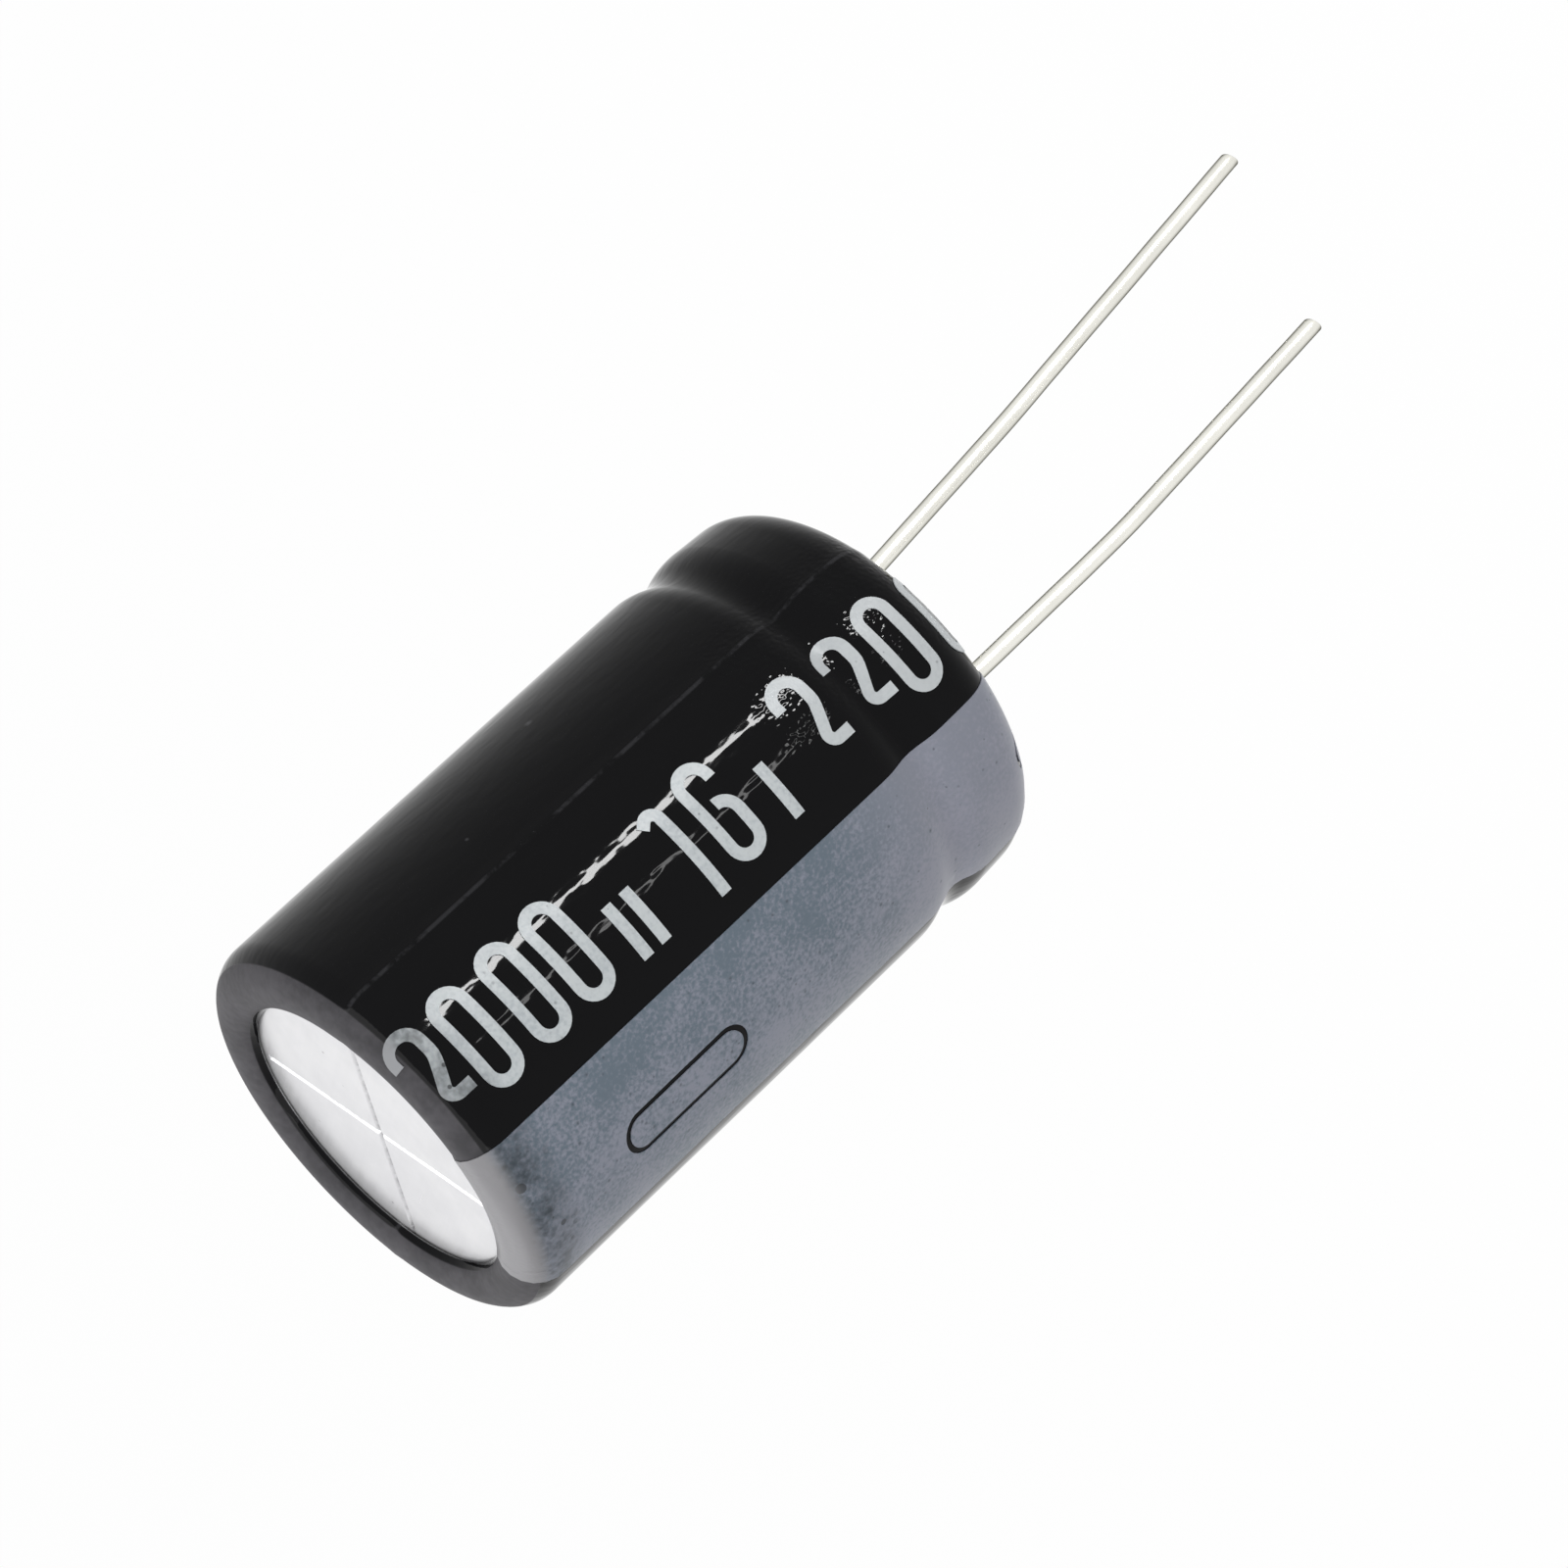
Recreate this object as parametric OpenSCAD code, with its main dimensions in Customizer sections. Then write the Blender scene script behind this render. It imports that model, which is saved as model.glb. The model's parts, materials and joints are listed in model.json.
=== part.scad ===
// Radial aluminium electrolytic capacitor, 18 mm across and 30 mm tall, with two wire leads.
// The origin is on the axis of the can, in the plane that seats on the board.
// +Z runs up to the closed vent end, and the leads run down below Z = 0.
// The longer anode lead leaves at +X and the cathode lead, next to the stripe, at -X.

/* [Can] */
// Outside diameter of the drawn aluminium can
can_d = 18; // [16:0.5:25]
// Height of the finished body over its sleeve
body_h = 30.3; // [26:0.5:45]
// Thickness of the can's sheet
can_wall = 0.4; // [0.25:0.05:0.5]
// Outside radius of the rim round the vent end
rim_r = 1.3; // [0.9:0.1:1.7]
// Angle that the rim's round turns past its top
rim_turn = 28; // [20:1:35]
// Outside radius of the lip where the rim drops to the vent disc
lip_r = 0.55; // [0.5:0.01:0.6]
// Slope of the drop inside the lip
drop_slope = 70; // [60:1:74]
// Depth of the vent disc below the rim
vent_recess = 0.57; // [0.53:0.01:0.8]
// Bend radius where the drop meets the vent disc
vent_bend_r = 0.28; // [0.26:0.01:0.32]

/* [Vent score] */
// Gap between a score line's end and the bend round the vent disc
score_gap = 0.3; // [0.1:0.1:1.5]
// Depth of the score's V groove
score_depth = 0.15; // [0.05:0.01:0.2]
// Width of the score's V groove
score_w = 0.3; // [0.1:0.02:0.5]
// Turn of the scored cross about the axis
score_turn = 174.8; // [0:0.2:180]

/* [Bead] */
// Height of the middle of the rolled bead
bead_z = 5.4; // [5.3:0.1:6.5]
// Width of the bead along the can
bead_w = 3.4; // [3:0.1:3.6]
// Depth of the bead into the can
bead_depth = 0.8; // [0.4:0.05:0.9]

/* [Mouth] */
// Outside radius of the can where it turns in at the mouth
mouth_r = 2; // [1.6:0.1:2.4]
// Inward slope of the wall between the bead and the mouth
mouth_taper = 3; // [1:0.5:5]
// Bend radius of the curled edge
curl_r = 0.8; // [0.6:0.1:1]
// Angle that the curled edge turns up into the end seal
curl_turn = 50; // [30:5:70]
// Straight end of the curled edge
curl_tail = 0.5; // [0.2:0.1:0.7]

/* [Sleeve] */
// Thickness of the shrunk film
film_t = 0.18; // [0.1:0.02:0.3]
// Share of the bead's depth that the film follows
dip_share = 0.45; // [0.2:0.05:0.6]
// Bare strip between the film's edge and the bend to the vent disc
film_stop = 0.015; // [0.01:0.005:0.05]
// Width of the film's flat lip at the mouth end
foot_lip = 0.45; // [0.2:0.05:0.6]

/* [Stripe] */
// Width of the printed stripe round the body
stripe_w = 8.2; // [4:0.2:12]
// Turn of the stripe's middle about the axis
stripe_turn = 182.7; // [150:0.1:210]
// Thickness of the ink
ink_t = 0.05; // [0.02:0.01:0.08]
// Length of the outlined minus mark
mark_l = 6.9; // [4:0.1:9]
// Width of the outlined minus mark
mark_w = 2.1; // [1.2:0.1:3]
// Width of the mark's line
mark_line = 0.26; // [0.15:0.01:0.5]
// Height of the upper mark's middle
mark_z = 21.1; // [16:0.1:24]
// Spacing from one mark to the next along the body
mark_pitch = 24.2; // [12:0.2:26]
// Turn of the marks about the axis
mark_turn = 181.5; // [178:0.1:189]

/* [End seal] */
// Recess of the rubber face above the seating plane
seal_recess = 0.8; // [0.65:0.05:0.9]
// Height of the rubber seal
seal_h = 7.5; // [7:0.1:9]

/* [Leads] */
// Distance between the two leads
lead_pitch = 7.5; // [6:0.5:9]
// Diameter of the tinned wire
wire_d = 0.8; // [0.5:0.1:1]
// Length of the anode lead below the seating plane
anode_l = 30.3; // [18:0.1:40]
// Length of the cathode lead below the seating plane
cathode_l = 24.9; // [16:0.1:40]
// Angle at which the anode lead leans where it leaves the seal
anode_angle = 5; // [0.5:0.1:8]
// Angle of the further bend halfway down the anode lead
anode_bend_angle = 1.2; // [0.5:0.1:5]
// Angle at which the cathode lead leans where it leaves the seal
cathode_angle = 0.5; // [0.5:0.1:5]
// Angle of the further bend halfway down the cathode lead
cathode_bend_angle = 3.2; // [0.5:0.1:5]
// Direction in which both leads lean, about the axis
lean_turn = -40; // [-90:5:0]

/* [Tabs] */
// Diameter of the aluminium boss in the seal
boss_d = 2.2; // [1.6:0.1:2.6]
// Width of the flat tab in the winding
tab_w = 3; // [2:0.1:4]
// Thickness of the flat tab
tab_t = 0.3; // [0.2:0.05:0.5]
// Distance from the flat tab's end to the winding's vent end
tab_gap = 3.5; // [1:0.5:10]

/* [Winding] */
// Clearance between the taped roll and the can's wall
roll_play = 0.34; // [0.2:0.02:1]
// Diameter of the hole that the winding spindle leaves
core_d = 3; // [2:0.1:4]
// Gap between the seal and the roll
roll_gap = 0.9; // [0.8:0.05:1.4]
// Gap between the roll and the vent end
head_gap = 0.4; // [0.3:0.05:1]
// Thickness of one drawn turn of the roll
turn_pitch = 1.1; // [0.8:0.1:1.6]
// Depth of the spiral line between the turns
turn_line = 0.3; // [0.1:0.05:0.5]
// Thickness of the tape round the roll
tape_t = 0.12; // [0.06:0.02:0.2]
// Bare height of the roll beside the tape, at each end
tape_margin = 2.75; // [0.5:0.25:6]

/* [Hidden] */
$fn = 96;

// Clearances between pieces
film_fit = 0.02;
ink_fit = 0.002;
seal_fit = 0.02;
hole_fit = 0.02;
slot_fit = 0.05;
tape_fit = 0.02;

// How far a cutter runs past the face that it opens
cut_past = 1;

// Can: offsets are counted outwards from its outside face
can_r = can_d / 2;
can_mid = -can_wall / 2;
foot_z = film_t + film_fit;
top_z = body_h - film_t - film_fit;
disc_z = top_z - vent_recess;
split_z = body_h / 2;
taper_r = 2;

// The drop inside the lip, on the can's own sheet
rim_mid_r = rim_r + can_mid;
lip_mid_r = lip_r + can_mid;
drop_l = (vent_recess - rim_mid_r * (1 - cos(rim_turn)) - lip_mid_r * (cos(rim_turn) - cos(drop_slope))
          - vent_bend_r * (1 - cos(drop_slope))) / sin(drop_slope);
disc_r = can_r - rim_r - (rim_mid_r - lip_mid_r) * sin(rim_turn)
         - (lip_mid_r + vent_bend_r) * sin(drop_slope) - drop_l * cos(drop_slope);
score_l = 2 * (disc_r - score_gap);

// Curled edge beyond the mouth's round
curl_steps = [[curl_r, -curl_turn], [curl_tail]];

// Largest angle between the points of a drawn arc
arc_step = 6;

// Share of the bead's shoulder radius in the sum of its two radii
shoulder_share = 0.6;

// Film and ink
film_dip = dip_share * bead_depth;
film_reach = drop_l - film_stop;
film_mid = film_fit + film_t / 2;
ink_mid = film_fit + film_t + ink_fit + ink_t / 2;
body_r = can_r + film_fit + film_t;
stripe_angle = stripe_w / body_r * 180 / PI;

// Seal
seal_z = seal_recess;
seal_top = seal_z + seal_h;

// Tab and wire: the boss ends in a cone that is welded to the wire inside the seal
weld_up = 0.7;
weld_z = seal_z + weld_up;
cone_h = 0.6;
cone_step = 0.3;
cone_d = wire_d + cone_step;
boss_out = 0.3;
boss_top = seal_top + boss_out;
fan_lead = 0.5;
tab_round = 0.6;

// Roll
roll_z = seal_top + roll_gap;
roll_top = disc_z - can_wall - head_gap;
roll_h = roll_top - roll_z;
roll_d = can_d - 2 * (can_wall + roll_play + 2 * tape_t + tape_fit);
tab_top = roll_top - tab_gap;
tape_w = roll_h - 2 * tape_margin;
roll_turns = floor((roll_d - core_d) / 2 / turn_pitch);
spiral_parts = 24;
tape_overlap = 24;

// Bends of the wires
bend_lap = 0.1;
bend_draw = 0.004;
anode_exit_r = 6;
cathode_exit_r = 30;
mid_bend_r = 40;
anode_bend_z = 13.2;
cathode_bend_z = 10.3;

// A path is a list of steps from a starting point and heading. A step [length] runs straight,
// and a step [radius, angle] bends, to the left if positive.
// trail() gives the points of a line beside such a path, side to the left of it.
function to_left(heading) = [-sin(heading), cos(heading)];
function trail(steps, side, at, heading, i = 0) =
    i == len(steps) ? [at + side * to_left(heading)] :
    let (step = steps[i])
    len(step) == 1 ?
        concat([at + side * to_left(heading)],
               trail(steps, side, at + step[0] * [cos(heading), sin(heading)], heading, i + 1)) :
    let (toward = sign(step[1]), centre = at + toward * step[0] * to_left(heading),
         parts = ceil(abs(step[1]) / arc_step), turned = heading + step[1])
        concat([for (k = [0:parts - 1])
                    centre + (side - toward * step[0]) * to_left(heading + step[1] * k / parts)],
               trail(steps, side, centre - toward * step[0] * to_left(turned), turned, i + 1));

function backwards(points) = [for (k = [len(points) - 1:-1:0]) points[k]];
function last(points) = points[len(points) - 1];

// Outline of a sheet of one thickness that follows a path up from the split and one down.
// Both start on the wall, off outwards from the can's face.
function sheet_edge(up, down, off, side) =
    let (start = [can_r + off, split_z], rising = trail(up, -side, start, 90))
    concat([for (k = [len(rising) - 1:-1:1]) rising[k]], trail(down, side, start, -90));
function sheet(up, down, off, thickness) = [for (p = concat(
        sheet_edge(up, down, off, thickness / 2),
        backwards(sheet_edge(up, down, off, -thickness / 2)))) [max(p[0], 0), p[1]]];

// Steps of a shallow bead: in, across the bottom and out again.
// extra moves the line outwards from the one that depth and width describe.
function bead_angle(depth) = 2 * atan(2 * depth / bead_w);
function bead_steps(depth, extra) =
    let (a = bead_angle(depth), sum = bead_w / 2 / sin(a),
         shoulder = sum * shoulder_share + extra, bottom = sum * (1 - shoulder_share) - extra)
    [[shoulder, -a], [bottom, 2 * a], [shoulder, -a]];

// Steps down the wall from the split, over the bead to the end of the mouth's round
function wall_steps(off, bead) =
    let (m = mouth_r + off, t = taper_r + off, s = sin(mouth_taper),
         bead_end = bead_z - bead_w / 2,
         run = (bead_end - t * s - (foot_z - off) - m * (1 - s)) / cos(mouth_taper))
    concat([[split_z - bead_z - bead_w / 2]], bead,
           [[t, -mouth_taper], [run], [m, -(90 - mouth_taper)]]);

// Steps up the wall from the split, over the rim and its lip to the start of the drop
function rim_steps(off) = [[top_z - rim_r - split_z], [rim_r + off, 90 + rim_turn],
                           [lip_r + off, drop_slope - rim_turn]];

// One of two pieces that stand opposite each other at the lead pitch
module at_lead(side) translate([side * lead_pitch / 2, 0, 0]) children();

// Deep-drawn can: scored vent disc, rim, rolled bead and curled mouth
module can() color("gainsboro") difference() {
    rotate_extrude() polygon(sheet(
        concat(rim_steps(can_mid), [[drop_l], [vent_bend_r, -drop_slope], [disc_r]]),
        concat(wall_steps(can_mid, bead_steps(bead_depth, 0)), curl_steps),
        can_mid, can_wall));
    for (turn = [0, 90])
        translate([0, 0, disc_z]) rotate([0, 0, score_turn + turn]) score_line();
}

// Cutter for one V-shaped score line, which is twice as high and wide as the groove
module score_line() rotate([90, 0, 90]) linear_extrude(score_l, center = true)
    polygon([[-score_w, score_depth], [0, -score_depth], [score_w, score_depth]]);

// Shrunk film sleeve: it turns in over the rim and over the mouth and dips over the bead
module sleeve() color([0.07, 0.07, 0.08]) rotate_extrude() polygon(sheet(
    concat(rim_steps(film_mid), [[film_reach]]),
    concat(wall_steps(film_mid, bead_steps(film_dip, 0)), [[foot_lip]]),
    film_mid, film_t));

// Printed negative stripe, with the outlines of the minus marks left free of ink
module stripe() color([0.45, 0.5, 0.56]) difference() {
    rotate([0, 0, stripe_turn - stripe_angle / 2]) rotate_extrude(angle = stripe_angle)
        polygon(sheet(
            concat(rim_steps(ink_mid), [[film_reach]]),
            wall_steps(ink_mid, bead_steps(film_dip, ink_mid - film_mid)),
            ink_mid, ink_t));
    for (k = [0, 1])
        rotate([0, 0, mark_turn]) translate([0, 0, mark_z - k * mark_pitch])
            rotate([90, 0, 90]) linear_extrude(can_d) mark_outline();
}

// Outline of one minus mark, a bar with round ends
module mark_outline() difference() {
    round_bar(mark_l, mark_w);
    round_bar(mark_l - 2 * mark_line, mark_w - 2 * mark_line);
}

// A bar with round ends that stands along Y
module round_bar(length, width) {
    square([width, length - width], center = true);
    for (end = [-1, 1]) translate([0, end * (length - width) / 2]) circle(d = width);
}

// Rubber end seal: it fills the can's mouth, with a waist in the bead and a stepped hole
// for each tab and lead
module end_seal() color([0.13, 0.13, 0.13]) difference() {
    start = [can_r + can_mid, split_z];
    wall = wall_steps(can_mid, bead_steps(bead_depth, 0));
    half = can_wall / 2 + seal_fit;
    inner = trail(wall, -half, start, -90);
    mouth_end = last(trail(wall, 0, start, -90));
    curl_cut = concat([curl_steps[0]], [[curl_tail + seal_fit]]);
    rotate_extrude() difference() {
        intersection() {
            translate([0, seal_z]) square([can_r, seal_h]);
            polygon(concat([[0, split_z]], inner, [[0, last(inner)[1]]]));
        }
        polygon(concat(trail(curl_cut, -half, mouth_end, 180),
                       backwards(trail(curl_cut, half, mouth_end, 180))));
    }
    for (side = [-1, 1]) at_lead(side) {
        translate([0, 0, seal_z - cut_past])
            cylinder(h = weld_up + cone_h + cut_past, d = wire_d + 4 * hole_fit);
        translate([0, 0, weld_z - hole_fit]) cylinder(h = cone_h + hole_fit,
            d1 = cone_d + 2 * hole_fit, d2 = boss_d + 2 * hole_fit);
        translate([0, 0, weld_z + cone_h])
            cylinder(h = seal_h - weld_up - cone_h + cut_past, d = boss_d + 2 * hole_fit);
    }
}

// How far a straight run laps into the bend beside it, at most a third of the bend
function lap_into(bend) = min(bend_lap, bend[0] * bend[1] * PI / 180 / 3);

// A wire that runs down from the origin as a chain of steps, drawn as in trail().
// It bends towards +X. Each straight run laps a little into the bends beside it, and a bend
// is drawn down by bend_draw, as a wire is that was bent.
module wire(steps, i = 0) {
    if (i < len(steps)) {
        step = steps[i];
        if (len(step) == 1) {
            over = i > 0 ? lap_into(steps[i - 1]) : 0;
            under = i < len(steps) - 1 ? lap_into(steps[i + 1]) : 0;
            translate([0, 0, -step[0]]) {
                translate([0, 0, -under]) cylinder(h = step[0] + over + under, d = wire_d);
                wire(steps, i + 1);
            }
        } else {
            translate([step[0], 0, 0]) {
                rotate([90, 0, 0]) rotate([0, 0, 180]) rotate_extrude(angle = step[1])
                    translate([step[0], 0]) circle(d = wire_d - bend_draw);
                rotate([0, -step[1], 0]) translate([-step[0], 0, 0]) wire(steps, i + 1);
            }
        }
    }
}

// Length of a run that drops by height at a lean
function lean_run(height, lean) = height / cos(lean);

// Drop of a bend that starts at one lean and ends at another
function bend_drop(radius, from, to) = radius * (sin(to) - sin(from));

// A lead that leans from where it leaves the seal, and leans further below a second bend
module lead(length, exit_r, angle, bend_z, bend_angle) {
    lower = angle + bend_angle;
    first = bend_z - bend_drop(exit_r, 0, angle);
    rest = length - bend_z - bend_drop(mid_bend_r, angle, lower);
    translate([0, 0, weld_z]) rotate([0, 0, lean_turn]) wire([
        [weld_z], [exit_r, angle], [lean_run(first, angle)],
        [mid_bend_r, bend_angle], [lean_run(rest, lower)]]);
}

// Tinned anode lead, the longer one
module anode_lead() color([0.8, 0.8, 0.76]) at_lead(1)
    lead(anode_l, anode_exit_r, anode_angle, anode_bend_z, anode_bend_angle);

// Tinned cathode lead, the shorter one
module cathode_lead() color([0.8, 0.8, 0.76]) at_lead(-1)
    lead(cathode_l, cathode_exit_r, cathode_angle, cathode_bend_z, cathode_bend_angle);

// Aluminium tab: a cone and a round boss in the seal, a fan, and a flat tab in the winding.
// tab_flat(), grown by a clearance, also cuts the winding's slot.
module tab() {
    translate([0, 0, weld_z]) cylinder(h = cone_h, d1 = cone_d, d2 = boss_d);
    translate([0, 0, weld_z + cone_h]) cylinder(h = boss_top - weld_z - cone_h, d = boss_d);
    translate([0, 0, boss_top]) intersection() {
        rotate([90, 0, 90]) linear_extrude(boss_d, center = true) polygon([
            [-boss_d / 2, 0], [boss_d / 2, 0], [tab_w / 2, fan_lead], [-tab_w / 2, fan_lead]]);
        rotate([90, 0, 0]) linear_extrude(tab_w, center = true) polygon([
            [-boss_d / 2, 0], [boss_d / 2, 0], [tab_t / 2, fan_lead], [-tab_t / 2, fan_lead]]);
    }
    tab_flat(boss_top + fan_lead, 0);
}

// The flat of a tab, from a height to the tab's top, with rounded corners
module tab_flat(from, grow) rotate([90, 0, 90])
    linear_extrude(tab_t + 2 * grow, center = true) {
        side = tab_w / 2 + grow;
        translate([-side, from]) square([2 * side, tab_top - tab_round - from]);
        translate([-side + tab_round, from]) square([2 * (side - tab_round), tab_top + grow - from]);
        for (end = [-1, 1])
            translate([end * (tab_w / 2 - tab_round), tab_top - tab_round])
                circle(r = tab_round + grow);
    }

module anode_tab() color("silver") at_lead(1) tab();
module cathode_tab() color("silver") at_lead(-1) tab();

// Line of an Archimedean spiral, as a band of one width
function spiral_points(turns, inner, pitch, shift) =
    [for (k = [0:spiral_parts * turns]) let (a = k * 360 / spiral_parts)
        (inner + pitch * k / spiral_parts + shift) * [cos(a), sin(a)]];

module spiral_line(width) polygon(concat(
    spiral_points(roll_turns - 1, core_d / 2 + turn_pitch / 2, turn_pitch, 0),
    backwards(spiral_points(roll_turns - 1, core_d / 2 + turn_pitch / 2, turn_pitch, width))));

// Roll of foils and paper: one solid with its spindle hole, its spiral and a slot per tab
module winding() color([0.85, 0.78, 0.62]) difference() {
    translate([0, 0, roll_z]) cylinder(h = roll_h, d = roll_d);
    translate([0, 0, roll_z - cut_past]) cylinder(h = roll_h + 2 * cut_past, d = core_d);
    translate([0, 0, roll_top - turn_line]) linear_extrude(turn_line * 2)
        spiral_line(turn_line / 2);
    for (side = [-1, 1]) at_lead(side) tab_flat(roll_z - cut_past, slot_fit);
}

// Tape that keeps the roll closed: one turn and a short overlap
module winding_tape() color([0.75, 0.6, 0.35])
    translate([0, 0, roll_z + tape_margin]) {
        inner = roll_d / 2 + tape_fit;
        rotate_extrude() translate([inner, 0]) square([tape_t, tape_w]);
        rotate_extrude(angle = tape_overlap)
            translate([inner + tape_t, 0]) square([tape_t, tape_w]);
    }

sleeve();
stripe();
can();
end_seal();
anode_lead();
cathode_lead();
anode_tab();
cathode_tab();
winding();
winding_tape();
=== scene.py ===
# %% [markdown]
# # An electrolytic capacitor, dressed around its solid parts
# The solid parts come first, as a fixed frame in metres. The pieces that show get finer meshes and
# a finish of their own here, and the pieces inside keep their solids and get a finish.

# %% Load the solid parts
import json
import math

import bmesh
import bpy
from mathutils import Matrix, Vector, noise

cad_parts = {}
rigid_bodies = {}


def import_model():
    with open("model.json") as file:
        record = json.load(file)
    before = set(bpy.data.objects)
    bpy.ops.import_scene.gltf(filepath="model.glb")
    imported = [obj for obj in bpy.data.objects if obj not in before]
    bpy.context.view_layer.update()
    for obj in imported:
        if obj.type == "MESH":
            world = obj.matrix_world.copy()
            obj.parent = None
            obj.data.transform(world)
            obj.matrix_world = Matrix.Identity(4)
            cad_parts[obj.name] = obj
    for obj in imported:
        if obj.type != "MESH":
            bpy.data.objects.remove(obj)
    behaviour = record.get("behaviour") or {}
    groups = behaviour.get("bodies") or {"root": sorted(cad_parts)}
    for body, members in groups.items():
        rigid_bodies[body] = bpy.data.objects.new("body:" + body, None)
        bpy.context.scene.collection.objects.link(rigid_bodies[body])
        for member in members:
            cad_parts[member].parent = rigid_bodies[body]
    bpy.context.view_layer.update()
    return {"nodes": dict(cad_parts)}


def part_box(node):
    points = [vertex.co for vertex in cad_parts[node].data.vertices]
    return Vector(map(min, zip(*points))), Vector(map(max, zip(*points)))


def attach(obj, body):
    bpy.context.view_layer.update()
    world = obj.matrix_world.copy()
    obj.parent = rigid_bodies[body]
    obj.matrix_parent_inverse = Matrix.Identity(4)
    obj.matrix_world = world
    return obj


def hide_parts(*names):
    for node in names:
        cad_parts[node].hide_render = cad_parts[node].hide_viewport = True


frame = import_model()
nodes = frame["nodes"]
MM = 0.001
print("parts:", ", ".join(sorted(nodes)))

# %% [markdown]
# ## One path for the film
# The shrunk film follows the can: up the wall and over the rim at the vent end, down the wall, over
# the bead and round the mouth at the lead end. It could be traced as a curve, but straight runs and
# bends are how the sheet was formed, so a path here is a list of steps. A step (length,) runs
# straight and a step (radius, angle) bends, to the left if the angle is positive.

# %% Measures of the can and film, in millimetres
_, film_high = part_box("sleeve")
BODY_R = film_high[0] / MM
BODY_H = film_high[2] / MM
FILM_T = 0.18
FILM_FIT = 0.02
FILM_MID = FILM_FIT + FILM_T / 2
CAN_R = BODY_R - FILM_T - FILM_FIT
SPLIT_Z = BODY_H / 2
TOP_Z = BODY_H - FILM_T - FILM_FIT
print(f"body: {2 * BODY_R:.2f} mm across and {BODY_H:.2f} mm tall")

# %% The path up the wall and over the rim
RIM_R, LIP_R = 1.3, 0.55
RIM_TURN, DROP_SLOPE = math.radians(28), math.radians(70)
FILM_REACH = 0.057
rise = [(TOP_Z - RIM_R - SPLIT_Z,), (RIM_R + FILM_MID, math.pi / 2 + RIM_TURN),
        (LIP_R + FILM_MID, DROP_SLOPE - RIM_TURN), (FILM_REACH,)]
print("steps up:", len(rise))

# %% The path down the wall, over the bead and round the mouth
BEAD_Z, BEAD_W, FILM_DIP = 5.4, 3.4, 0.36
SHOULDER_SHARE = 0.6
bead_turn = 2 * math.atan(2 * FILM_DIP / BEAD_W)
bead_sum = BEAD_W / 2 / math.sin(bead_turn)
bead = [(bead_sum * SHOULDER_SHARE, -bead_turn),
        (bead_sum * (1 - SHOULDER_SHARE), 2 * bead_turn),
        (bead_sum * SHOULDER_SHARE, -bead_turn)]

MOUTH_R, TAPER_R, TAPER = 2 + FILM_MID, 2 + FILM_MID, math.radians(3)
FOOT_LIP = 0.45
foot_run = (BEAD_Z - BEAD_W / 2 - TAPER_R * math.sin(TAPER) - FILM_T / 2
            - MOUTH_R * (1 - math.sin(TAPER))) / math.cos(TAPER)
fall = [(SPLIT_Z - BEAD_Z - BEAD_W / 2,), *bead,
        (TAPER_R, -TAPER), (foot_run,), (MOUTH_R, -(math.pi / 2 - TAPER))]
print("steps down:", len(fall))


# %% Length of the path
def step_length(step):
    """Length of one step of a path."""
    return step[0] if len(step) == 1 else step[0] * abs(step[1])


RISE_L = sum(step_length(step) for step in rise)
FALL_L = sum(step_length(step) for step in fall)
print(f"film path: {RISE_L:.2f} mm up from the middle, {FALL_L:.2f} mm down")

# %% [markdown]
# ## A pen that is dragged
# The film's section, the wires and the strokes of the print are all one small outline pulled along
# a path. A curve with a bevel could do it, but extrude and spin leave even rings of faces that can
# be bent again later. drag() pulls a set of edges along the steps, in the XY plane.


# %% The pen
def across(heading):
    """Unit vector to the left of a heading in the XY plane."""
    return Vector((-math.sin(heading), math.cos(heading), 0))


def along(heading):
    """Unit vector along a heading in the XY plane."""
    return Vector((math.cos(heading), math.sin(heading), 0))


def pen_edge(bm, at, heading, width):
    """One edge across the heading, centred on a point."""
    ends = [bm.verts.new(at + across(heading) * width * share) for share in (0.5, -0.5)]
    return [bm.edges.new(ends)]


print("pen ready")

# %% The drag
UPRIGHT = Matrix.Rotation(math.pi / 2, 3, "X")


def drag(bm, edges, at, heading, steps, run_part=0.4, bend_part=math.radians(6)):
    """Pulls edges along the steps and returns the last edges, the end point and the heading."""
    for step in steps:
        if len(step) == 1:
            parts = max(1, math.ceil(step[0] / run_part))
            for _ in range(parts):
                made = bmesh.ops.extrude_edge_only(bm, edges=edges)["geom"]
                verts = [g for g in made if isinstance(g, bmesh.types.BMVert)]
                bmesh.ops.translate(bm, verts=verts, vec=along(heading) * step[0] / parts)
                fresh = set(verts)
                edges = [g for g in made if isinstance(g, bmesh.types.BMEdge)
                         and fresh.issuperset(g.verts)]
            at = at + along(heading) * step[0]
        else:
            radius, angle = step
            centre = at + across(heading) * math.copysign(radius, angle)
            verts = list({v for e in edges for v in e.verts})
            made = bmesh.ops.spin(
                bm, geom=verts + edges, cent=centre, axis=(0, 0, 1), dvec=(0, 0, 0),
                angle=angle, steps=max(2, math.ceil(abs(angle) / bend_part)))
            edges = [g for g in made["geom_last"] if isinstance(g, bmesh.types.BMEdge)]
            heading += angle
            at = centre - across(heading) * math.copysign(radius, angle)
    return edges, at, heading


def stand_up(bm):
    """Turns a drawing in the XY plane up into the XZ plane."""
    bmesh.ops.rotate(bm, verts=bm.verts, cent=(0, 0, 0), matrix=UPRIGHT)


print("drag ready")

# %% [markdown]
# ## Shrunk film is never quite round
# The film starts as a tube that was pressed flat, so two faint folds run along it, and it shrinks a
# little unevenly. These swellings are a few hundredths of a millimetre. They are in the mesh, so
# that the reflections waver as they do on real film, and the print rides on the same swelling.

# %% Swelling of the film
FOLD_ANGLE = math.radians(258.6)
FOLD_H, FOLD_W = 0.05, 0.3
WAVE_H = 0.035
WAVES = Vector((2.2, 2.2, 0.09))


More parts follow.
